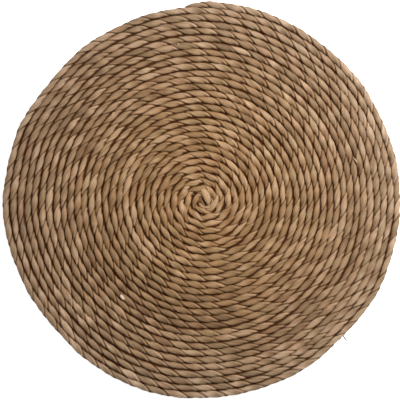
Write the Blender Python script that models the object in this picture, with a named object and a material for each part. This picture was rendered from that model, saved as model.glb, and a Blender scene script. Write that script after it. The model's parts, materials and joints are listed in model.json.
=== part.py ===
"""A round chair seat pad of two-ply straw rope, one rope thick.

The rope starts in a folded end at the middle, winds outward anticlockwise (seen from above) as a flat
spiral, and ends in a tapered tail laid against the turn inside it. Sewing threads run outward through
the rope at half its height, between its two plies, from a knot near the middle to a knot inside the
outermost turn, so no stitch shows on either face.

Each turn of the rope is a solid of its own, which meets the next turn end to end. The solids hold the
rope's outer size, and the twist of its plies is left out. Metres, +Z up. The origin is at the centre
of the outline, on the face that the pad lies on.
"""

import math

import bmesh
import bpy
from mathutils import Vector

# Driving sizes.
ROPE_WIDTH = 0.00655  # across one turn, seen from above
ROPE_HEIGHT = 0.0076  # thickness of the pad
PIECE_GAP = 0.0003  # clearance between neighbouring pieces
START_RADIUS = 0.0030  # narrowest part of the folded end that the first turn bends round
FULL_TURNS = 28
TAIL_ANGLE = math.radians(94)  # how far the rope goes on past its last full turn
TAPER_LENGTH = 0.020  # of the tail's pointed end
TIP_SHARE = 0.35  # size of the tail's tip, as a share of the rope's section
THREAD_RADIUS = 0.0006
KNOT_RADIUS = 0.0010
KNOT_LENGTH = 0.0020
THREAD_CLEARANCE = 0.0003  # round the thread and its knots

# Shape of the solids.
STEPS = 36  # straight stretches in one turn
FLAT_SHARE = 0.42  # share of the rope's width and height that is flat on each side
END_INSET = 0.85  # the folded end's flat faces, as a share of its outline
THREAD_ROWS = 6

# Worked out from the sizes above.
PITCH = ROPE_WIDTH + PIECE_GAP
STEP_ANGLE = 2 * math.pi / STEPS
SPREAD = 1 / math.sqrt(math.cos(STEP_ANGLE / 2))  # corners stand out, so the stretches straddle the spiral

STRAW = ("straw_rope", (0.352, 0.205, 0.112, 1.0), 0.68)
THREAD = ("sewing_thread", (0.420, 0.300, 0.180, 1.0), 0.80)


def spiral_radius(angle):
    """Radius of the rope's centreline after winding through angle, measured from the first turn's start."""
    return START_RADIUS + PIECE_GAP + ROPE_WIDTH / 2 + PITCH * angle / (2 * math.pi)


def radial(angle):
    """Unit vector pointing outward at angle."""
    return Vector((math.cos(angle), math.sin(angle), 0.0))


def tangent(angle):
    """Unit vector along the rope at angle, anticlockwise."""
    return Vector((-math.sin(angle), math.cos(angle), 0.0))


def rope_section():
    """Corners of the rope's eight-sided section, as shares of its half width and half height."""
    flat = FLAT_SHARE
    return [(1, -flat), (1, flat), (flat, 1), (-flat, 1), (-1, flat), (-1, -flat), (-flat, -1), (flat, -1)]


def rope_ring(angle, shift=0.0, scale=1.0):
    """Section of the rope at angle, moved along the rope by shift, shrunk towards the turn inside it."""
    half_width = ROPE_WIDTH / 2
    centre = spiral_radius(angle) - half_width * (1 - scale)
    ring = []
    for across, up in rope_section():
        out = (centre + across * half_width * scale) * SPREAD
        height = up * ROPE_HEIGHT / 2 * scale
        ring.append(radial(angle) * out + tangent(angle) * shift + Vector((0, 0, height)))
    return ring


def solid_through(name, rings, location):
    """Object whose surface runs through the rings in order, closed by a face at each end."""
    mesh = bpy.data.meshes.new(name)
    shell = bmesh.new()
    loops = [[shell.verts.new(point) for point in ring] for ring in rings]
    count = len(rings[0])
    for near, far in zip(loops, loops[1:]):
        for i in range(count):
            j = (i + 1) % count
            shell.faces.new((near[i], near[j], far[j], far[i]))
    shell.faces.new(loops[0])
    shell.faces.new(reversed(loops[-1]))
    bmesh.ops.recalc_face_normals(shell, faces=shell.faces)
    shell.to_mesh(mesh)
    shell.free()
    piece = bpy.data.objects.new(name, mesh)
    piece.location = location
    bpy.context.collection.objects.link(piece)
    return piece


def finish(piece, look):
    """Give piece its own material from a (name, colour, roughness) look, and smooth shading."""
    label, colour, roughness = look
    material = bpy.data.materials.new(f"{label}_{piece.name}")
    material.use_nodes = True
    shader = material.node_tree.nodes["Principled BSDF"]
    shader.inputs["Base Color"].default_value = colour
    shader.inputs["Roughness"].default_value = roughness
    shader.inputs["Metallic"].default_value = 0.0
    piece.data.materials.append(material)
    piece.data.shade_smooth()
    piece.data.set_sharp_from_angle(angle=math.radians(50))


def turn_rings(number):
    """Rings of full turn number, whose two ends stand back from the neighbouring turns."""
    first = 2 * math.pi * number
    rings = [rope_ring(first, shift=PIECE_GAP / 2)]
    rings += [rope_ring(first + STEP_ANGLE * step) for step in range(1, STEPS)]
    rings.append(rope_ring(first + 2 * math.pi, shift=-PIECE_GAP / 2))
    return rings


def taper_angle():
    """Angle past the last full turn at which the tail starts to taper."""
    end = 2 * math.pi * FULL_TURNS + TAIL_ANGLE
    return TAIL_ANGLE - TAPER_LENGTH / spiral_radius(end)


def tail_rings():
    """Rings of the rope's last stretch, which narrows to its tip."""
    first = 2 * math.pi * FULL_TURNS
    taper = taper_angle()
    steps = [STEP_ANGLE * step for step in range(1, math.ceil(TAIL_ANGLE / STEP_ANGLE))]
    rings = [rope_ring(first, shift=PIECE_GAP / 2)]
    for angle in sorted([*steps, taper, TAIL_ANGLE]):
        share = max(0.0, (angle - taper) / (TAIL_ANGLE - taper))
        rings.append(rope_ring(first + angle, scale=1 - (1 - TIP_SHARE) * share))
    return rings


def start_rings():
    """Level outlines of the folded end, which fills the space inside the first turn."""
    inner = START_RADIUS
    corner = -tangent(0) * PIECE_GAP / 2
    outline = [radial(0) * inner * SPREAD + corner]
    for step in range(1, STEPS):
        angle = STEP_ANGLE * step
        outline.append(radial(angle) * (inner + PITCH * step / STEPS) * SPREAD)
    outline.append(radial(0) * (inner + PITCH) * SPREAD + corner)
    half = ROPE_HEIGHT / 2
    levels = [(-half, END_INSET), (-half * FLAT_SHARE, 1), (half * FLAT_SHARE, 1), (half, END_INSET)]
    return [[point * share + Vector((0, 0, height)) for point in outline] for height, share in levels]


def knot_angle():
    """Angle that a knot takes up in the outermost rope."""
    return 2 * KNOT_LENGTH / spiral_radius(2 * math.pi * FULL_TURNS)


def thread_angles():
    """Angles of the rows of stitching, each across the middle of a straight stretch.

    The rows are evenly spaced, and one of them pins the tail just before its taper.
    """
    spacing = STEPS / THREAD_ROWS
    pinned = round((taper_angle() - knot_angle()) / STEP_ANGLE) - 0.5
    return [STEP_ANGLE * (pinned % spacing + spacing * row) for row in range(THREAD_ROWS)]


def thread_ends(angle):
    """Centres of the inner and outer knot of the thread at angle, as distances from the spiral's middle.

    The inner knot is in the folded end where that is wide enough, and otherwise in the first turn. The
    outer knot is in the outermost rope.
    """
    inner_turn = -1 if angle > math.pi else 0
    outer_turn = FULL_TURNS if angle + knot_angle() / 2 < taper_angle() else FULL_TURNS - 1
    return [spiral_radius(angle + 2 * math.pi * turn) for turn in (inner_turn, outer_turn)]


def bar_ring(angle, distance, size, sides):
    """Section of a bar that runs outward at angle, at a distance along it. size is to its flat sides."""
    reach = size / math.cos(math.pi / sides)
    ring = []
    for i in range(sides):
        turn = 2 * math.pi * (i + 0.5) / sides
        across = tangent(angle) * reach * math.cos(turn)
        ring.append(radial(angle) * distance + across + Vector((0, 0, reach * math.sin(turn))))
    return ring


def knotted_bar_rings(angle, sides, clearance=0.0):
    """Rings of a thread with a knot at each end, or, with a clearance, of the bore that it lies in."""
    inner, outer = thread_ends(angle)
    half_knot = KNOT_LENGTH / 2 + clearance
    thread = THREAD_RADIUS + clearance
    knot = KNOT_RADIUS + clearance
    stations = [
        (inner - half_knot, knot),
        (inner + half_knot, knot),
        (inner + half_knot, thread),
        (outer - half_knot, thread),
        (outer - half_knot, knot),
        (outer + half_knot, knot),
    ]
    return [bar_ring(angle, distance, size, sides) for distance, size in stations]


def outline_centre():
    """Middle of the pad's outline in the spiral's own coordinates."""
    points = [point for ring in turn_rings(FULL_TURNS - 1) + tail_rings() for point in ring]
    lows = [min(point[axis] for point in points) for axis in (0, 1)]
    highs = [max(point[axis] for point in points) for axis in (0, 1)]
    return Vector(((lows[0] + highs[0]) / 2, (lows[1] + highs[1]) / 2, 0))


def add_rope(location):
    """The rope's folded end, full turns and tail, from the middle outward."""
    pieces = [solid_through("rope_start_fold", start_rings(), location)]
    for number in range(FULL_TURNS):
        pieces.append(solid_through(f"rope_turn_{number + 1:02d}", turn_rings(number), location))
    pieces.append(solid_through("rope_tail", tail_rings(), location))
    return pieces


def add_bores(pieces, location):
    """Cut the way for each sewing thread through the rope."""
    cutters = []
    for row, angle in enumerate(thread_angles()):
        rings = knotted_bar_rings(angle, 4, THREAD_CLEARANCE)
        cutter = solid_through(f"thread_bore_{row + 1}", rings, location)
        cutter.hide_render = True
        cutter.display_type = "WIRE"
        cutters.append(cutter)
    collection = bpy.data.collections.new("thread_bores")
    for cutter in cutters:
        collection.objects.link(cutter)
    for piece in pieces:
        cut = piece.modifiers.new("thread_bores", "BOOLEAN")
        cut.operation = "DIFFERENCE"
        cut.solver = "EXACT"
        cut.operand_type = "COLLECTION"
        cut.collection = collection


def add_threads(location):
    """The sewing threads, each from its inner knot to its outer knot."""
    threads = []
    for row, angle in enumerate(thread_angles()):
        threads.append(solid_through(f"sewing_thread_{row + 1}", knotted_bar_rings(angle, 6), location))
    return threads


def main():
    for thing in list(bpy.data.objects):
        bpy.data.objects.remove(thing, do_unlink=True)
    location = Vector((0, 0, ROPE_HEIGHT / 2)) - outline_centre()
    rope = add_rope(location)
    for piece in rope:
        finish(piece, STRAW)
    add_bores(rope, location)
    for piece in add_threads(location):
        finish(piece, THREAD)


main()
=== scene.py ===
# %% [markdown]
# # A round seat pad of twisted straw rope
#
# The pad is one long rope of dried cattail leaf, wound flat as a spiral and sewn through from the side.
# The rope has two plies. Each ply is a bundle of leaves rolled on itself, and the two are laid round each
# other, so from above each turn reads as a row of long, leaf-shaped bulges with pointed ends.
#
# The lesson builds the rope as swept surfaces computed with numpy, then gives them a procedural straw.
# The CAD model fixes where each turn lies, so we load that first and measure everything from it.

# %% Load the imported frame
import json

import bpy
import numpy as np
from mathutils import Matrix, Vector

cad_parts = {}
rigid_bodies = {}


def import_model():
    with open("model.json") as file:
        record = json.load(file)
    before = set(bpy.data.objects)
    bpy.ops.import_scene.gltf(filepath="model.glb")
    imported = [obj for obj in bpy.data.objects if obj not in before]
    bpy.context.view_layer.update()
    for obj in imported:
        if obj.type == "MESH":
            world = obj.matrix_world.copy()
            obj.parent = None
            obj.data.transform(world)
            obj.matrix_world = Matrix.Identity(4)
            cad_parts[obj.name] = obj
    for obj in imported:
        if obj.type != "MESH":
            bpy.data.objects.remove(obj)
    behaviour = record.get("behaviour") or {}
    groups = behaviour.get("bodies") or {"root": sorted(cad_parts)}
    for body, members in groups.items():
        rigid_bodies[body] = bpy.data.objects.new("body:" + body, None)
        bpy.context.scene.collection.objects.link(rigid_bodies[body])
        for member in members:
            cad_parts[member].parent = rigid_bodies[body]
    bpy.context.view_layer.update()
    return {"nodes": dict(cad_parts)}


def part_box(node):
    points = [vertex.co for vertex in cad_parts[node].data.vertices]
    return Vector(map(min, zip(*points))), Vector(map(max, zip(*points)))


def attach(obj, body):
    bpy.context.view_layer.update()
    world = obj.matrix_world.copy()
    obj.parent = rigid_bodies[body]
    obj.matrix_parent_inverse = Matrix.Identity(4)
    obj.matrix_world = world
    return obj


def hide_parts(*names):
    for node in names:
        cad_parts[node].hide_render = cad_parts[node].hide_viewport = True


for thing in list(bpy.data.objects):
    bpy.data.objects.remove(thing, do_unlink=True)
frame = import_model()

# %% [markdown]
# ## What the frame says about the spiral
#
# The CAD turns are named from the middle outward. Each full turn starts and ends on the +X side, so its
# box gives the radius there and half a turn earlier. From two neighbouring boxes come the pitch (how far
# the rope moves outward in one turn) and the point that the rope winds round.

# %% Measure the spiral from the CAD turns
TURNS = sum(name.startswith("rope_turn_") for name in frame["nodes"])


def turn_name(number):
    """Name of the CAD node of full turn number, counted from 1."""
    return f"rope_turn_{number:02d}"


inner_box = np.array(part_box(turn_name(TURNS - 1)))
outer_box = np.array(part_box(turn_name(TURNS)))
PITCH = outer_box[1, 0] - inner_box[1, 0]
# The radius grows all the way round, which puts a turn's box off centre by a quarter of the pitch.
MIDDLE = outer_box.mean(axis=0) + np.array((-PITCH / 4, PITCH / 4, 0))
ROPE_HALF_HEIGHT = (outer_box[1, 2] - outer_box[0, 2]) / 2
# The last full turn ends TURNS pitches further out than the first begins, and its edge half a pitch more.
FIRST_RADIUS = outer_box[1, 0] - MIDDLE[0] - PITCH * (TURNS + 0.5)
print(f"pitch {PITCH * 1000:.2f} mm, first radius {FIRST_RADIUS * 1000:.2f} mm")

# %% [markdown]
# ## Camera
#
# The pad is seen from straight above, so near that it fills the square picture. A long lens keeps the
# rope's sides out of sight all the way to the edge.

# %% Place the camera
FRAME_WIDTH = 0.4058  # metres across the picture
LENS_MM = 135.0
SENSOR_MM = 36.0
AIM = MIDDLE + np.array((-0.0030, 0.0012, 0.0))  # the middle of the outline, which is not the spiral's

lens = bpy.data.cameras.new("camera")
lens.lens = LENS_MM
lens.sensor_width = SENSOR_MM
camera = bpy.data.objects.new("camera", lens)
camera.location = (AIM[0], AIM[1], MIDDLE[2] + ROPE_HALF_HEIGHT + FRAME_WIDTH * LENS_MM / SENSOR_MM)
bpy.context.collection.objects.link(camera)
bpy.context.scene.camera = camera
print("camera height in m:", round(camera.location.z, 3))

# %% [markdown]
# ## Smooth random curves
#
# Nothing twisted by hand repeats exactly, so the rope's thickness, colour and path all wander. One
# function makes every such wander: random heights at whole numbers, joined by an ease that starts and
# ends level. Each use has its own seed, so the pad comes out the same every time.

# %% A smooth random curve
def drift(x, seed):
    """Random heights from -1 to 1 at whole numbers, joined by the S-shaped ease t*t*(3 - 2t)."""
    x = x - x.min()
    heights = np.random.default_rng(seed).uniform(-1, 1, int(x.max()) + 3)
    cell = np.floor(x).astype(int)
    t = x - cell
    t = t * t * (3 - 2 * t)
    return heights[cell] * (1 - t) + heights[cell + 1] * t


def ease(low, high, x):
    """0 below low, 1 above high, and the S-shaped ease between."""
    t = np.clip((x - low) / (high - low), 0, 1)
    return t * t * (3 - 2 * t)


# %% [markdown]
# ## Stations along the rope
#
# The rope is swept through sections called stations, evenly spaced along it. An Archimedean spiral's
# length has no short formula, so we add up small steps once and then look up the angle of each station.

# %% Stations along the rope
STATION_STEP = 0.0013  # metres between the rope's sections
START_ANGLE = np.radians(-26)
TAIL_ANGLE = np.radians(95.5)  # how far the rope goes on past its last full turn
END_ANGLE = 2 * np.pi * TURNS + TAIL_ANGLE
FINE_STEPS = 60000

fine_angle = np.linspace(START_ANGLE, END_ANGLE, FINE_STEPS + 1)
fine_radius = FIRST_RADIUS + PITCH * fine_angle / (2 * np.pi)
fine_steps = (fine_radius[1:] + fine_radius[:-1]) / 2 * np.diff(fine_angle)
fine_length = np.concatenate(([0], np.cumsum(fine_steps)))
ROPE_LENGTH = fine_length[-1]
along = np.linspace(0, ROPE_LENGTH, round(ROPE_LENGTH / STATION_STEP))
angle = np.interp(along, fine_length, fine_angle)
radius = FIRST_RADIUS + PITCH * angle / (2 * np.pi)
print(f"rope {ROPE_LENGTH:.2f} m long, {len(along)} stations")

# %% [markdown]
# ## The lay
#
# Two plies go round each other once per lay, and each shows on top once, so the bulges are half a lay
# long. The lay is a little longer further out. A groove between the plies crosses the top quickly and
# lingers at the sides, because the rope is pressed flat between its neighbours. We get that by taking a
# sine of twice the phase away from it.

# %% Phase of the lay
BULGE_INNER = 0.0162  # metres from one bulge to the next, at the middle
BULGE_OUTER = 0.0193  # and further out
BULGE_REACH = 0.030  # the radius over which it grows
FIRST_BULGE = np.radians(57)  # where the middle of the rope's first bulge lies
CROSSING_HASTE = 0.31  # the sine's size, in radians of phase


def uneven(size, reach, seed):
    """A drift of this size along the rope, with a new random height every reach metres."""
    return size * drift(along / reach, seed)


bulge = BULGE_OUTER - (BULGE_OUTER - BULGE_INNER) * np.exp(-radius / BULGE_REACH)
phase = np.cumsum(np.pi / bulge) * (along[1] - along[0])
phase += uneven(0.40, 0.045, 11) + uneven(0.9, 0.4, 12)
phase -= np.interp(FIRST_BULGE, angle, phase)
groove = phase - CROSSING_HASTE * np.sin(2 * phase)
print("bulges along the rope:", int((phase[-1] - phase[0]) / np.pi))

# %% [markdown]
# ## The path
#
# Hand-wound rope is stiff, so it bends where its plies cross and stays straight in between, which makes
# polygons of the inner turns. The first turns are pulled tight, and the outer ones lean over to one side,
# which shows as a wavy edge. All of it is added to the spiral's radius. The rope squeezes or spreads to
# fill the space between its neighbours, so we also keep the spacing of the turns at each station.

# %% Centreline
# A wave has an order, which is how often it swells on the way round, a size in mm and a turn in degrees.
EDGE_WAVES = ((1, 2.5, 180), (2, 0.6, 0), (4, 1.1, -15), (5, 0.6, 180))  # a lean to -X, then its flat sides
MID_WAVES = ((2, 0.9, -40),)  # half way out the turns are a little oval
SMALL_ORDERS = range(6, 16)
SMALL_WAVE_MM = 0.2  # each smaller wave of the edge, turned at random
WINDING_TIGHTNESS = 0.0014  # metres that the first turns lie inside the spiral
STRAIGHTNESS = 0.9  # 1 is straight between the crossings
TAIL_PULL = 0.0006  # metres that the tail is drawn in against the turn inside
TAIL_PULL_FROM = 0.35  # radians before the rope's end
TAIL_PULL_FULL = 0.15
LEAST_RADIUS = 0.006  # metres, below which the bends get no tighter
MOST_SAG = 0.0018  # metres, so that the innermost turns still nest in each other
LEAST_SPACING = 0.9  # share of the pitch; less than that means that a neighbour is missing


def cosines(waves, angle):
    """Sum of size / 1000 * cos(order * angle - turn) over waves of an order, a size in mm and a turn."""
    return sum(size / 1000 * np.cos(order * angle - np.radians(turn)) for order, size, turn in waves)


small_turns = np.random.default_rng(26).uniform(-180, 180, len(SMALL_ORDERS))
small_waves = tuple((order, SMALL_WAVE_MM, turn) for order, turn in zip(SMALL_ORDERS, small_turns))
share = radius / radius[-1]
lean = share**3 * cosines(EDGE_WAVES + small_waves, angle)
lean += 4 * share * (1 - share) * cosines(MID_WAVES, angle)
lean -= WINDING_TIGHTNESS * (1 - share**2)
sag = np.minimum(bulge**2 / (8 * np.maximum(radius, LEAST_RADIUS)), MOST_SAG)
kink = -0.5 * STRAIGHTNESS * sag * np.cos(2 * phase)
kink -= TAIL_PULL * ease(END_ANGLE - TAIL_PULL_FROM, END_ANGLE - TAIL_PULL_FULL, angle)
wander = uneven(0.00042, 0.055, 21) + uneven(0.00028, 0.021, 22)
lift = uneven(0.00042, 0.05, 23) + uneven(0.00022, 0.018, 24)
path_radius = radius + lean + kink + wander
spacing = np.interp(angle + np.pi, angle, radius + lean) - np.interp(angle - np.pi, angle, radius + lean)
spacing = np.where(spacing < LEAST_SPACING * PITCH, PITCH, spacing)
centre = np.stack([path_radius * np.cos(angle), path_radius * np.sin(angle), lift], axis=1) + MIDDLE
heading = np.gradient(centre[:, :2], axis=0)
heading /= np.linalg.norm(heading, axis=1, keepdims=True)
outward = np.stack([heading[:, 1], -heading[:, 0], np.zeros(len(along))], axis=1)
print("path radius in mm:", np.round(path_radius[[0, -1]] * 1000, 1))

# %% [markdown]
# ## The plies
#
# In a section across the rope each ply is a soft oval that fills a little more than half of it, because
# the two are pressed into each other. Its middle stands to one side of the rope's middle and turns round
# it with the groove. Leaves rolled into a bundle leave a few flats, so the oval also gets low ridges that
# wind slowly along it. The tail thins to a point against the turn inside, and the underside is pressed
# flat where the pad has been sat on.

# %% Section of a ply
CORNERS = 20
PLY_OFFSET = 0.45  # the oval's middle, half thickness and half width, as shares of the rope's half size
PLY_HALF_THICK = 0.57
PLY_HALF_WIDE = 0.92
INNER_FLATTER = 0.32  # share by which the plies of the tight inner turns are pressed into each other
FULLNESS = 2.25  # 2 is an ellipse, and more is squarer
ROPE_FILL = 0.96  # the rope's width, as a share of the space between its neighbours
START_TAPER = 0.007  # metres
START_TIP = 0.45  # thickness of the rope's first section, as a share
TAIL_TAPER = 0.026
TAIL_TIP = 0.12
TAIL_TUCK = 1.25  # half widths by which the thinning tail moves in against the turn inside
BELLY = 0.05  # how much fuller a bulge is than a crossing
RIDGES = ((3, 0.030, 1.0), (5, 0.020, -1.7))  # number round a ply, height as a share, and pace of winding
RIDGE_LAY = 0.07  # metres in which a ridge of pace 1 reaches the place of the next one
# Depth paints shade on the straw: browner and darker where two plies touch and down the rope's flanks.
CONTACT_DEPTH = 0.25  # depth where two plies touch, and as much again in the middle of the pad
CONTACT_RANGE = (0.45, 0.95)
FLANK_RANGE = (0.26, 0.84)  # shares of the half height at which depth 1 ends and depth 0 begins

swell = 1 + uneven(0.07, 0.03, 31) + BELLY * np.cos(2 * phase)
start_share = np.clip(along / START_TAPER, 0, 1)
tail_share = np.clip((ROPE_LENGTH - along) / TAIL_TAPER, 0, 1)
slim = START_TIP + (1 - START_TIP) * np.sqrt(start_share)
slim *= TAIL_TIP + (1 - TAIL_TIP) * np.sqrt(tail_share)
half_width = spacing / 2 * ROPE_FILL
tuck_in = -TAIL_TUCK * (1 - slim) * (along > ROPE_LENGTH / 2) * half_width


def ring_turns(corners):
    """Turns of a ring's corners, evenly spaced from 0."""
    return np.arange(corners) * 2 * np.pi / corners


def superellipse(b, fullness):
    """Point at turn b of the curve |x|^n + |y|^n = 1, where n is the fullness."""
    power = 2 / fullness
    return np.sign(np.cos(b)) * np.abs(np.cos(b)) ** power, np.sign(np.sin(b)) * np.abs(np.sin(b)) ** power


def ply_rings(side):
    """Rings of one ply as points (station, corner, xyz), and how deep each point lies in a groove.

    A corner at turn b lies at (offset + thick * x(b), wide * y(b)) in axes that turn with the groove, then
    is stretched to the rope's half width and half height. In the tight inner turns the offset is smaller
    and the oval thicker. Depth grows from 0 on both faces to 1 near half height, and is at least a quarter
    where two plies touch.
    """
    b = ring_turns(CORNERS)
    x, y = superellipse(b, FULLNESS)
    fold = (uneven(1.5, 0.05, 41 + side) + along * 2 * np.pi / RIDGE_LAY)[:, None]
    ridges = 1 + sum(height * np.cos(count * b + pace * fold) for count, height, pace in RIDGES)
    bundle = (1 + uneven(0.12, 0.024, 43 + side))[:, None]
    inner = np.exp(-radius / BULGE_REACH)
    offset = PLY_OFFSET * (1 - INNER_FLATTER * inner) * (1 + uneven(0.10, 0.04, 45))
    thick = PLY_HALF_THICK * (1 + 0.5 * INNER_FLATTER * inner)[:, None] * x * ridges * bundle
    wide = PLY_HALF_WIDE * y * ridges * bundle
    turn = (-groove + np.pi / 2 + np.pi * side)[:, None]
    u = offset[:, None] + thick
    across = (u * np.cos(turn) - wide * np.sin(turn)) * (half_width * swell * slim)[:, None]
    up = (u * np.sin(turn) + wide * np.cos(turn)) * (ROPE_HALF_HEIGHT * swell * slim)[:, None]
    # Depth for the painted shade: where two plies touch, and down the flanks near half height.
    contact = (CONTACT_DEPTH * (1 + inner))[:, None] * ease(*CONTACT_RANGE, -np.cos(b))
    flank = 1 - ease(*FLANK_RANGE, np.abs(up) / (ROPE_HALF_HEIGHT * slim)[:, None])
    rings = centre[:, None, :] + (across + tuck_in[:, None])[:, :, None] * outward[:, None, :]
    rings[:, :, 2] = np.maximum(rings[:, :, 2] + up, 0.0)
    return rings, np.maximum(contact, flank)


ply_shapes, ply_depths = zip(ply_rings(0), ply_rings(1))
print("points on both plies:", 2 * ply_shapes[0].shape[0] * CORNERS)

# %% [markdown]
# ## A strand of painted shade between the turns
#
# Where two plies cross they leave little triangular holes beside the groove, which lie in shade. A flat,
# dark brown strand at half height, wide enough to reach under both neighbours, is painted shade there
# and keeps light from coming through.

# %% Strand of painted shade
SHADE_STRAND_CORNERS = 8
SHADE_STRAND_HALF_HEIGHT = 0.0013
SHADE_STRAND_FILL = 1.4  # its width, as a share of the space between the rope's neighbours
EDGE_FILL = 0.85  # and on the outermost turn, which has no neighbour outside
EDGE_SHIFT = 0.12  # so its strand of painted shade is moved inward, by this share of the pitch
EDGE_BLEND = 0.3  # radians over which the rope becomes the outermost turn

shade_strand_turn = ring_turns(SHADE_STRAND_CORNERS)
outermost = ease(END_ANGLE - 2 * np.pi - EDGE_BLEND, END_ANGLE - 2 * np.pi, angle)
shade_strand_reach = spacing / 2 * slim * (SHADE_STRAND_FILL - (SHADE_STRAND_FILL - EDGE_FILL) * outermost)
shade_strand_across = np.cos(shade_strand_turn) * shade_strand_reach[:, None] + (tuck_in - EDGE_SHIFT * PITCH * outermost)[:, None]
shade_strand_rings = centre[:, None, :] + shade_strand_across[:, :, None] * outward[:, None, :]
shade_strand_rings[:, :, 2] += np.sin(shade_strand_turn) * (SHADE_STRAND_HALF_HEIGHT * slim)[:, None]
print("points on the pith:", shade_strand_rings.shape[0] * SHADE_STRAND_CORNERS)

# %% [markdown]
# ## Tone of each leaf
#
# Dried leaf goes from khaki to reddish tan, and the side that shows changes each time the ply rolls over.
# So each half turn of a ply gets its own tone, held as a number on the points, and the straw reads it.
# The outer turns are handled more and have faded: they are greyer, which a third number carries. Some
# of the leaf was darker when it went in, or got wet later, and shows as a stain across several turns.

# %% Tone and hue along each ply
TONE_STEEPNESS = 8  # one bulge's tone gives way to the next within an eighth of a half turn
LEAST_TONE = 0.09
BULGE_SHARE = 0.46  # of the tone is each bulge's own
DRIFT_SHARE = 0.30  # and this much changes slowly along the rope


def each_bulge(seed, side):
    """A random height from 0 to 1 for each half turn of the ply, changing where it passes the side."""
    halves = (groove + np.pi * side) / np.pi + 0.5
    halves = halves - np.floor(halves.min())
    cell = np.floor(halves).astype(int)
    t = np.clip((halves - cell - 0.5) * TONE_STEEPNESS + 0.5, 0, 1)
    heights = np.random.default_rng(seed).uniform(0, 1, cell.max() + 3)
    return heights[cell] * (1 - t) + heights[cell + 1] * t


def mixed(seed, side, reach):
    """Mostly each bulge's own height, and partly a slow drift over reach metres of rope."""
    slow = 0.5 + uneven(0.5, reach, seed + 2 + side)
    return LEAST_TONE + BULGE_SHARE * each_bulge(seed + side, side) + DRIFT_SHARE * slow


MIDDLE_PALER = 0.32  # the first turns are paler by this much tone
MIDDLE_REACH = 0.024
EDGE_PALER = 0.07
EDGE_FROM = 0.90  # share of the radius at which the paler edge begins
STAIN_RADIUS = 0.118  # one arc of darker rope at the lower left, several turns wide
STAIN_WIDTH = 0.020
STAIN_MIDDLE = np.radians(-115)
STAIN_REACH = np.radians(50)
STAIN_DARKENING = 0.30


def stained():
    """Tone lost to the stain: exp(-x^2 - y^4), with x the place across the arc and y along it."""
    across = (radius - STAIN_RADIUS) / STAIN_WIDTH
    turned = np.angle(np.exp(1j * (angle - STAIN_MIDDLE))) / STAIN_REACH
    return STAIN_DARKENING * np.exp(-across**2 - turned**4)


tones = np.stack([mixed(51, side, 0.35) for side in (0, 1)])
tones += MIDDLE_PALER * np.exp(-radius / MIDDLE_REACH) + EDGE_PALER * ease(EDGE_FROM, 1.0, share) - stained()
hues = np.stack([mixed(55, side, 0.60) for side in (0, 1)])
fading = np.stack([share, share]) ** 2
print("tone from", tones.min().round(2), "to", tones.max().round(2))

# %% [markdown]
# ## From rings to a mesh
#
# Every strand of the pad is a tube: a row of rings joined by four-sided faces and closed by one face at
# each end. The mesh is filled with whole arrays, which is quick for a million faces. The rim of each end
# is marked sharp, so two pieces that meet there shade as one.

# %% Make a mesh from rings
def tube_faces(tubes, stations, corners):
    """Points of the four-sided faces between the rings, and of the face that closes each end."""
    index = np.arange(tubes * stations * corners).reshape(tubes, stations, corners)
    near = index[:, :-1]
    far = index[:, 1:]
    quads = np.stack([near, far, np.roll(far, -1, axis=2), np.roll(near, -1, axis=2)], axis=-1).reshape(-1, 4)
    return quads, np.concatenate([index[:, 0], index[:, -1, ::-1]])


def mark_rims(mesh, stations, corners):
    """Mark the edges round the first and last ring of each tube sharp."""
    ends = np.empty(len(mesh.edges) * 2, dtype=np.int32)
    mesh.edges.foreach_get("vertices", ends)
    station = (ends.reshape(-1, 2) // corners) % stations
    rim = (station[:, 0] == station[:, 1]) & ((station[:, 0] == 0) | (station[:, 0] == stations - 1))
    mesh.edges.foreach_set("use_edge_sharp", rim)


def tube_uv(lengths, girth, caps, shape):
    """UV of every face corner, in metres along the tube and metres round it."""
    corner_step = girth / shape[2]
    u = np.broadcast_to(lengths[:, :, None], shape)
    v = np.broadcast_to(np.arange(shape[2]) * girth / shape[2], shape)
    quad_uv = np.stack([
        np.stack([u[:, :-1], v[:, :-1]], axis=-1),
        np.stack([u[:, 1:], v[:, 1:]], axis=-1),
        np.stack([u[:, 1:], v[:, 1:] + corner_step], axis=-1),
        np.stack([u[:, :-1], v[:, :-1] + corner_step], axis=-1),
    ], axis=3).reshape(-1, 2)
    cap_uv = np.stack([u.ravel()[caps.ravel()], v.ravel()[caps.ravel()]], axis=-1)
    return np.concatenate([quad_uv, cap_uv])


def tube_object(name, rings, lengths, girth, attributes):
    """Closed tubes through rings (tube, station, corner, xyz), each with a face at both ends.

    attributes holds, under each name, one number for each tube and station, or for each tube, station and
    corner.
    """
    shape = rings.shape[:3]
    tubes, stations, corners = shape
    quads, caps = tube_faces(tubes, stations, corners)
    loops = np.concatenate([quads.ravel(), caps.ravel()])
    starts = np.concatenate([np.arange(len(quads)) * 4, len(quads) * 4 + np.arange(len(caps)) * corners])
    mesh = bpy.data.meshes.new(name)
    mesh.vertices.add(tubes * stations * corners)
    mesh.vertices.foreach_set("co", rings.astype(np.float32).ravel())
    mesh.loops.add(len(loops))
    mesh.loops.foreach_set("vertex_index", loops.astype(np.int32))
    mesh.polygons.add(len(starts))
    mesh.polygons.foreach_set("loop_start", starts.astype(np.int32))
    mesh.update(calc_edges=True)
    mark_rims(mesh, stations, corners)

    layer = mesh.uv_layers.new(name="UVMap")
    layer.data.foreach_set("uv", tube_uv(lengths, girth, caps, shape).astype(np.float32).ravel())
    for label, values in attributes.items():
        if values.ndim == 2:
            values = np.repeat(values[:, :, None], corners, axis=2)
        numbers = mesh.attributes.new(label, "FLOAT", "POINT")
        numbers.data.foreach_set("value", values.astype(np.float32).ravel())
    piece = bpy.data.objects.new(name, mesh)
    bpy.context.collection.objects.link(piece)
    return piece
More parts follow.
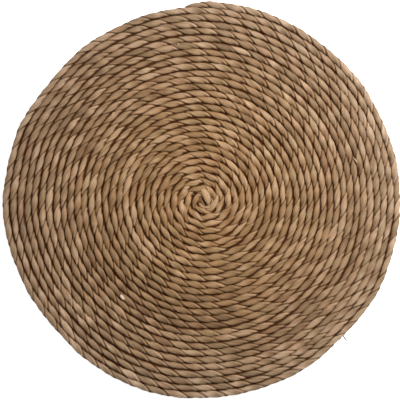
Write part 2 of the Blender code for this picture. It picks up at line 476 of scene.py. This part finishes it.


# %% [markdown]
# ## Straw
#
# Dried cattail leaf is pale tan with fine darker veins along it, and a soft waxy gleam. It was only dried
# and twisted, never varnished. The veins follow the ply, so they read its UV map, stretched along it.
# Folded edges and the parts down in the grooves are painted browner and darker as painted shade, and are
# duller; the painted shade is a little greyer on the faded outer turns.

# %% Colour and node helpers
def linear(code):
    """sRGB hex code to linear RGBA."""
    values = np.array([int(code[i:i + 2], 16) for i in (0, 2, 4)]) / 255
    values = np.where(values <= 0.04045, values / 12.92, ((values + 0.055) / 1.055) ** 2.4)
    return (*values, 1.0)


def add_node(tree, kind, values=None, links=None, **settings):
    """Add a node, set its properties, its sockets' values and its sockets' links."""
    made = tree.nodes.new(kind)
    for key, value in settings.items():
        setattr(made, key, value)
    for socket, value in (values or {}).items():
        made.inputs[socket].default_value = value
    for socket, source in (links or {}).items():
        tree.links.new(source, made.inputs[socket])
    return made


def palette(tree, value, stops):
    """Colour for a value, from (position, sRGB hex) stops."""
    ramp = add_node(tree, "ShaderNodeValToRGB", links={"Fac": value})
    points = ramp.color_ramp.elements
    while len(points) < len(stops):
        points.new(0.5)
    for point, (position, code) in zip(points, stops):
        point.position = position
        point.color = linear(code)
    return ramp.outputs[0]


def point_number(tree, name):
    """The number that the mesh's points hold under name."""
    return add_node(tree, "ShaderNodeAttribute", attribute_name=name).outputs["Fac"]


def ranged(tree, value, low, high, at_low=0.0, at_high=1.0):
    """low where value is at_low or less, high where it is at_high or more, and in proportion between."""
    sockets = {1: at_low, 2: at_high, 3: low, 4: high}  # From Min, From Max, To Min and To Max
    return add_node(tree, "ShaderNodeMapRange", sockets, {0: value}).outputs[0]


def multiplied(tree, colour, shade):
    """Colour times a shade."""
    product = add_node(tree, "ShaderNodeVectorMath", links={0: colour, 1: shade}, operation="MULTIPLY")
    return product.outputs[0]


def blended(tree, amount, first, second):
    """Colour between first and second, each of them a socket or an sRGB hex code."""
    colours = {6: first, 7: second}
    values = {socket: linear(colour) for socket, colour in colours.items() if isinstance(colour, str)}
    links = {socket: colour for socket, colour in colours.items() if not isinstance(colour, str)}
    return add_node(tree, "ShaderNodeMix", values, {0: amount, **links}, data_type="RGBA").outputs[2]


def new_material(name):
    """Empty node material, and its tree."""
    material = bpy.data.materials.new(name)
    material.use_nodes = True
    material.node_tree.nodes.clear()
    return material, material.node_tree


# %% Dried, twisted cattail leaf
VEIN_PER_M = 850.0  # real veins are finer than 0.5 mm, and drawn at about 1.2 mm so that they show
VEIN_LENGTH_PER_M = 30.0
VEIN_HEIGHT = 0.0005
SPECKLES_PER_M = 700.0
KHAKI = ((0.0, "745a3c"), (0.45, "987b56"), (0.92, "c2a37f"), (1.0, "eadcc4"))
TAN = ((0.0, "7c5739"), (0.45, "9f7652"), (0.92, "c69e7c"), (1.0, "ecd9c6"))
# Painted shade: the browns that deep points are painted, from the middle of the pad to its faded edge.
MIDDLE_PAINTED_SHADE = "472509"
EDGE_PAINTED_SHADE = "5a422c"
DEPTH_COLOUR = 0.15  # added to the saturation in the grooves


def leaf_colour(tree, uv, veins, fading, depth):
    """Khaki to tan by the tone and hue on the points, with dark veins and speckles, greyer where faded."""
    tone = point_number(tree, "tone")
    leaf = blended(tree, point_number(tree, "hue"), palette(tree, tone, KHAKI), palette(tree, tone, TAN))
    veined = multiplied(tree, leaf, ranged(tree, veins, 0.60, 1.18, at_low=0.3, at_high=0.72))
    speckle = add_node(tree, "ShaderNodeTexNoise", {"Scale": SPECKLES_PER_M, "Detail": 2.0}, {"Vector": uv})
    speckle_shade = ranged(tree, speckle.outputs["Fac"], 0.90, 1.10, at_low=0.3, at_high=0.7)
    speckled = multiplied(tree, veined, speckle_shade)
    # Painted shade also raises the saturation where a point lies deep.
    saturation = add_node(
        tree,
        "ShaderNodeMath",
        {1: DEPTH_COLOUR},
        {0: depth, 2: ranged(tree, fading, 1.06, 0.88)},
        operation="MULTIPLY_ADD",
    )
    faded = add_node(
        tree, "ShaderNodeHueSaturation", links={"Saturation": saturation.outputs[0], "Color": speckled}
    )
    return faded.outputs[0]


def dried_leaf():
    """Leaf veined along the UV map by stretched noise, painted brown and dull as shade where it lies deep."""
    material, tree = new_material("dried_cattail_leaf")
    uv = add_node(tree, "ShaderNodeUVMap", uv_map="UVMap").outputs[0]
    scale = (VEIN_LENGTH_PER_M, VEIN_PER_M, 1.0)
    stretch = add_node(tree, "ShaderNodeMapping", {"Scale": scale}, {"Vector": uv})
    noise = {"Scale": 1.0, "Detail": 3.0, "Roughness": 0.6}
    veins = add_node(tree, "ShaderNodeTexNoise", noise, {"Vector": stretch.outputs[0]}).outputs["Fac"]
    fading = point_number(tree, "fading")
    depth = point_number(tree, "depth")
    # Painted shade, greyer on the faded outer turns, mixed into the leaf by depth below.
    painted_shade = blended(tree, fading, MIDDLE_PAINTED_SHADE, EDGE_PAINTED_SHADE)
    bump = add_node(tree, "ShaderNodeBump", {"Strength": 0.5, "Distance": VEIN_HEIGHT}, {"Height": veins})
    shader = add_node(
        tree,
        "ShaderNodeBsdfPrincipled",
        {"IOR": 1.45, "Metallic": 0.0, "Specular IOR Level": 0.3},
        {
            "Base Color": blended(tree, depth, leaf_colour(tree, uv, veins, fading, depth), painted_shade),
            "Roughness": ranged(tree, depth, 0.55, 1.0),
            "Normal": bump.outputs[0],
        },
    )
    add_node(tree, "ShaderNodeOutputMaterial", links={"Surface": shader.outputs[0]})
    return material


straw = dried_leaf()
print("nodes in the straw:", len(straw.node_tree.nodes))

# %% [markdown]
# ## Cutting the strands into turns
#
# The whole rope would be one mesh of a million triangles. It is cut where the CAD turns end instead, so
# each visual piece stands for one CAD node and can be picked up, recoloured or mended by itself.

# %% Cut the strands into the frame's pieces
PLY_GIRTH = 0.0155  # metres round a ply, for its UV map
PLY_SHIFT = 3.1  # metres between the veins of the two plies, so that they differ
# Tone and hue of the strand of painted shade; its depth of 1 makes it dark brown.
SHADE_STRAND_TONE = 0.3
SHADE_STRAND_HUE = 0.5


def as_straw(piece, node=None):
    """Finish a piece as straw that rides on the pad and, if it stands for a CAD node, replaces it."""
    piece.data.materials.append(straw)
    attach(piece, "root")
    if node:
        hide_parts(node)
    return piece


def station_at(turn):
    """The station nearest to the start of a turn, counted in whole turns from the first."""
    return int(np.argmin(np.abs(angle - 2 * np.pi * turn)))


def even(shape, **numbers):
    """Attributes that hold one number each on every station."""
    return {label: np.full(shape, float(number)) for label, number in numbers.items()}


def rope_piece(label, node, first, last):
    """The two plies, and the strand of painted shade between them, from station first to station last."""
    part = slice(first, last + 1)
    lengths = np.stack([along[part], along[part] + PLY_SHIFT])
    rings = np.stack([shape[part] for shape in ply_shapes])
    numbers = {
        "tone": tones[:, part],
        "hue": hues[:, part],
        "fading": fading[:, part],
        "depth": np.stack([depth[part] for depth in ply_depths]),
    }
    as_straw(tube_object(f"straw_{label}", rings, lengths, PLY_GIRTH, numbers), node)
    # The strand of painted shade is dark brown all through.
    numbers = even((1, last + 1 - first), tone=SHADE_STRAND_TONE, hue=SHADE_STRAND_HUE, fading=0, depth=1)
    as_straw(tube_object(f"shade_strand_{label}", shade_strand_rings[None, part], lengths[:1], PLY_GIRTH, numbers), node)


cuts = [0] + [station_at(turn) for turn in range(TURNS + 1)] + [len(along) - 1]
rope_piece("start", "rope_start_fold", cuts[0], cuts[1])
for number in range(1, TURNS + 1):
    rope_piece(f"turn_{number:02d}", turn_name(number), cuts[number], cuts[number + 1])
rope_piece("tail", "rope_tail", cuts[-2], cuts[-1])
print(f"straw rope: {TURNS + 2} pieces, about {4 * CORNERS * len(along)} triangles")

# %% [markdown]
# ## The folded start
#
# The rope begins in a hook: a few single leaves are bent back on themselves, and the first bulge lies
# over them. Each is a flattened bundle with pointed ends, so one function makes them all from three
# points along it, its width and its height.

# %% Leaves of the hook
LEAF_STATIONS = 25
LEAF_LENGTH = 0.02  # metres of leaf that the veins are drawn for
LEAF_TIP = 0.06  # width of the tips, as a share
# Depth paints shade down a leaf's flanks, as on the plies.
LEAF_FLANK = (0.05, 0.65)  # shares of the half thickness at which depth 1 ends and depth 0 begins


def leaf_rings(points, half_wide, half_thick, level):
    """Rings of a pointed leaf through three points in mm from the middle, at a level above half height.

    The path is the parabola through the points. The width follows 1 - |2t - 1|^3 from tip to tip.
    """
    t = np.linspace(0, 1, LEAF_STATIONS)[:, None]
    first, middle, last = (np.array(point) / 1000 for point in points)
    path = first * (1 - t) * (1 - 2 * t) + middle * 4 * t * (1 - t) + last * t * (2 * t - 1)
    heading = np.gradient(path, axis=0)
    heading /= np.linalg.norm(heading, axis=1, keepdims=True)
    side = np.stack([heading[:, 1], -heading[:, 0]], axis=1)
    taper = LEAF_TIP + (1 - LEAF_TIP) * (1 - np.abs(2 * t - 1) ** 3)
    x, y = superellipse(ring_turns(CORNERS), FULLNESS)
    rings = np.zeros((LEAF_STATIONS, CORNERS, 3))
    rings[:, :, :2] = path[:, None] + (half_wide / 1000 * taper * x)[:, :, None] * side[:, None, :]
    rings[:, :, 2] = half_thick / 1000 * taper * y + level / 1000
    depth = np.broadcast_to(1 - ease(*LEAF_FLANK, np.abs(y)), (LEAF_STATIONS, CORNERS))
    rings += MIDDLE
    rings[:, :, 2] = np.maximum(rings[:, :, 2], 0.0)
    return rings, depth


# A leaf's least depth is painted shade. The wide, low sheet under the hook is dark painted shade, and the
# brown leaf is darkened as painted shade.
HOOK_LEAVES = {  # three points in mm, half width, half thickness, level, tone, hue, least depth
    "hook_cover_leaf": (((-2.2, 13.0), (3.2, 6.0), (5.6, -3.8)), 3.8, 2.6, 2.2, 0.88, 0.30, 0.0),
    "hook_shade_sheet": (((-6.0, 7.0), (0.0, 0.0), (6.0, -8.0)), 7.0, 1.4, -1.5, 0.2, 0.5, 0.90),
    "hook_brown_leaf": (((-1.6, 9.0), (-3.0, 3.6), (-3.4, -2.8)), 2.6, 1.6, 0.6, 0.15, 0.9, 0.35),
    "hook_thin_leaf": (((-1.5, 2.6), (-0.4, -1.6), (2.6, -5.4)), 1.1, 1.2, 1.2, 0.30, 0.6, 0.20),
    "hook_small_leaf": (((-4.6, -1.8), (-1.2, -4.9), (3.0, -8.6)), 1.9, 2.4, 1.2, 0.60, 0.3, 0.0),
    "hook_bend": (((0.6, -5.0), (5.4, -6.2), (8.9, -1.2)), 1.9, 2.4, 1.2, 0.75, 0.2, 0.0),
    "hook_outer_strand": (((6.2, -6.2), (9.3, -1.2), (7.6, 4.2)), 0.9, 1.6, 1.6, 0.80, 0.4, 0.0),
}


def leaf_object(label, shape, tone, hue, least_depth, node=None):
    """A leaf by itself, from its rings and depth."""
    rings, depth = shape
    numbers = even((1, LEAF_STATIONS), tone=tone, hue=hue, fading=0)
    numbers["depth"] = np.maximum(depth, least_depth)[None]
    lengths = np.linspace(0, LEAF_LENGTH, LEAF_STATIONS)[None]
    return as_straw(tube_object(label, rings[None], lengths, PLY_GIRTH, numbers), node)


for label, (points, half_wide, half_thick, level, tone, hue, least_depth) in HOOK_LEAVES.items():
    shape = leaf_rings(points, half_wide, half_thick, level)
    leaf_object(label, shape, tone, hue, least_depth, "rope_start_fold")
print("leaves in the hook:", len(HOOK_LEAVES))

# %% [markdown]
# ## Spliced leaves and loose hairs
#
# A leaf is about a metre long, so new ones are fed in all the way. Where one starts, its pale cut end can
# stand out of the twist. We place the few that show one by one, by their distance from the middle, their
# direction and their turn against the rope. The last one is a thin, dark hair that sticks out at the edge.
# The other hairs that split off the leaves lie at random.

# %% Cut ends of spliced leaves
CUT_ENDS = {  # distance mm, direction degrees, length, half width, turn, level above half height, tone
    "cut_end_lower_left": (127, 230, 6.5, 1.6, -12, 4.2, 0.98),
    "cut_end_upper_left": (127, 136, 6.0, 0.9, 8, 4.0, 0.92),
    "cut_end_right": (160, 15, 7.0, 0.8, 22, 4.0, 0.90),
    "cut_end_top": (161, 99, 3.5, 0.9, 35, 4.2, 0.85),
    "cut_end_left": (92, 171, 4.0, 0.8, -20, 4.2, 0.88),
    "cut_end_edge": (200, -44, 9.0, 0.60, 80, 1.0, 0.0),
}
CUT_END_HALF_THICK = 0.7  # mm, and less where the half width is under 1 mm
CUT_END_HUE = 0.3
CUT_END_BOW = 0.04  # share of its length


def unit(degrees):
    """Unit vector across the pad at degrees from +X."""
    return np.array((np.cos(np.radians(degrees)), np.sin(np.radians(degrees))))


def lying_at(distance, direction, length, turn):
    """Three points in mm of a slightly bowed stroke, turned from the rope's own run at its place."""
    out = unit(direction)
    run = unit(direction + 90 + turn)
    place = distance * out
    return [place - run * length / 2, place + out * CUT_END_BOW * length, place + run * length / 2]


for label, (distance, direction, length, half_wide, turn, level, tone) in CUT_ENDS.items():
    points = lying_at(distance, direction, length, turn)
    shape = leaf_rings(points, half_wide, CUT_END_HALF_THICK * min(half_wide, 1), level)
    leaf_object(label, shape, tone, CUT_END_HUE, least_depth=0.0)
print("cut ends:", len(CUT_ENDS))

# %% Loose hairs
HAIR_COUNT = 70
HAIR_RADIUS = 0.00013
HAIR_CORNERS = 5
HAIR_STATIONS = 9
HAIR_MARGIN = 400  # stations at each end of the rope that grow none
HAIR_LENGTHS = (0.005, 0.013)
HAIR_TURN = 0.5  # spread of its turn from the rope's run, in radians
HAIR_BEND = 0.12  # spread of its bend, where 1 bows it by a quarter of its length
HAIR_TIP = 0.2  # thickness of its ends, as a share
HAIR_LEVEL = 1.02  # height that it lies at, as a share of the rope's half height
HAIR_UV_STEP = 0.001

dice = np.random.default_rng(71)
hair_station = dice.integers(HAIR_MARGIN, len(along) - HAIR_MARGIN, HAIR_COUNT)
hair_length = dice.uniform(*HAIR_LENGTHS, HAIR_COUNT)[:, None, None]
hair_turn = dice.normal(0, HAIR_TURN, HAIR_COUNT)[:, None]
hair_bend = dice.normal(0, HAIR_BEND, HAIR_COUNT)[:, None]

t = np.linspace(-0.5, 0.5, HAIR_STATIONS)
rope_run = heading[hair_station]
rope_side = np.stack([-rope_run[:, 1], rope_run[:, 0]], axis=1)
run = rope_run * np.cos(hair_turn) + rope_side * np.sin(hair_turn)
cross = np.stack([run[:, 1], -run[:, 0]], axis=1)
stroke = t[None, :, None] * run[:, None, :]
stroke = stroke + (hair_bend * (0.25 - t**2))[:, :, None] * cross[:, None, :]
b = ring_turns(HAIR_CORNERS)
thin = HAIR_RADIUS * (1 - (2 * np.abs(t)) ** 4 * (1 - HAIR_TIP))
hair_rings = np.zeros((HAIR_COUNT, HAIR_STATIONS, HAIR_CORNERS, 3))
hair_rings[..., :2] = (centre[hair_station, None, :2] + stroke * hair_length)[:, :, None]
hair_rings[..., :2] += (thin[:, None] * np.cos(b))[None, :, :, None] * cross[:, None, None, :]
hair_rings[..., 2] = MIDDLE[2] + ROPE_HALF_HEIGHT * HAIR_LEVEL + thin[:, None] * np.sin(b)
hair_shape = (HAIR_COUNT, HAIR_STATIONS)
hair_lengths = np.broadcast_to(np.arange(1, HAIR_STATIONS + 1) * HAIR_UV_STEP, hair_shape)
numbers = even(hair_shape, tone=0.9, hue=0.4, fading=0.5, depth=0)
as_straw(tube_object("loose_hairs", hair_rings, hair_lengths, HAIR_UV_STEP, numbers))
print("loose hairs:", HAIR_COUNT)

# %% [markdown]
# ## Sewing threads
#
# The threads run through the rope from the side, so they hardly show. They are plain cotton, spun hard
# and twisted: pale, dry and without gloss. The frame's own solids are kept for them.

# %% Twisted cotton
TWIST_PER_M = 900.0
COTTON = ((0.0, "8f7a5c"), (1.0, "b9a482"))


def twisted_cotton():
    """Pale cotton with a fine diagonal twist from a wave across the object's own coordinates."""
    material, tree = new_material("twisted_cotton")
    place = add_node(tree, "ShaderNodeTexCoord")
    wave = add_node(
        tree,
        "ShaderNodeTexWave",
        {"Scale": TWIST_PER_M, "Distortion": 1.0},
        {"Vector": place.outputs["Object"]},
        bands_direction="DIAGONAL",
    )
    shader = add_node(
        tree,
        "ShaderNodeBsdfPrincipled",
        {"Roughness": 0.85, "IOR": 1.47, "Metallic": 0.0},
        {"Base Color": palette(tree, wave.outputs["Fac"], COTTON)},
    )
    add_node(tree, "ShaderNodeOutputMaterial", links={"Surface": shader.outputs[0]})
    return material


cotton = twisted_cotton()
threads = [name for name in frame["nodes"] if name.startswith("sewing_thread_")]
for name in threads:
    materials = bpy.data.objects[name].data.materials
    materials.clear()
    materials.append(cotton)
print("sewing threads:", len(threads))

# %% [markdown]
# ## Light table and lamps
#
# The pad lies on a light table: a white sheet that glows a little, so no shadow darkens it. The sheet is
# clear from below, so the pad's underside can be seen. A soft lamp stands close on the right, a little up
# the picture, so that side is the brightest and every groove shows its dark inner flank. A weak second
# lamp, higher and on the left, and a white room fill the rest.

# %% Light table
def glowing_sheet():
    """White acrylic, lit from below, and clear when looked at from its underside."""
    material, tree = new_material("white_acrylic_lit_from_below")
    shader = add_node(
        tree,
        "ShaderNodeBsdfPrincipled",
        {
            "Base Color": linear("f4f4f4"),
            "Roughness": 0.9,
            "IOR": 1.49,
            "Emission Color": (1, 1, 1, 1),
            "Emission Strength": 0.7,
        },
    )
    clear = add_node(tree, "ShaderNodeBsdfTransparent")
    side = add_node(tree, "ShaderNodeNewGeometry")
    seen = add_node(
        tree,
        "ShaderNodeMixShader",
        links={0: side.outputs["Backfacing"], 1: shader.outputs[0], 2: clear.outputs[0]},
    )
    add_node(tree, "ShaderNodeOutputMaterial", links={"Surface": seen.outputs[0]})
    return material


TABLE_REACH = 3.0  # metres from the middle to its edges
TABLE_GAP = 0.0002  # keeps the sheet from lying in the pad's flattened underside
table_signs = ((-1, -1), (1, -1), (1, 1), (-1, 1))
table_corners = [(x * TABLE_REACH, y * TABLE_REACH, -TABLE_GAP) for x, y in table_signs]
table_mesh = bpy.data.meshes.new("light_table")
table_mesh.from_pydata(table_corners, [], [(0, 1, 2, 3)])
table_mesh.materials.append(glowing_sheet())
table = bpy.data.objects.new("light_table", table_mesh)
bpy.context.collection.objects.link(table)
print("light table in m:", 2 * TABLE_REACH)


# %% Lamps and room
ROOM_STRENGTH = 0.38


def soft_light(name, place, size, power):
    """Square lamp of size metres and power watts at place, facing the pad."""
    lamp = bpy.data.lights.new(name, "AREA")
    lamp.size = size
    lamp.energy = power
    holder = bpy.data.objects.new(name, lamp)
    holder.location = place
    holder.rotation_euler = (Vector(MIDDLE) - Vector(place)).to_track_quat("-Z", "Y").to_euler()
    bpy.context.collection.objects.link(holder)


soft_light("key_light", place=(0.66, 0.50, 0.84), size=0.6, power=16)
soft_light("fill_light", place=(-0.8, 0.7, 1.8), size=1.4, power=5)
room = bpy.data.worlds.new("white_room")
room.use_nodes = True
background = room.node_tree.nodes["Background"]
background.inputs["Color"].default_value = (1, 1, 1, 1)
background.inputs["Strength"].default_value = ROOM_STRENGTH
bpy.context.scene.world = room
bpy.context.scene.view_settings.view_transform = "Standard"
print("lamps:", len(bpy.data.lights))
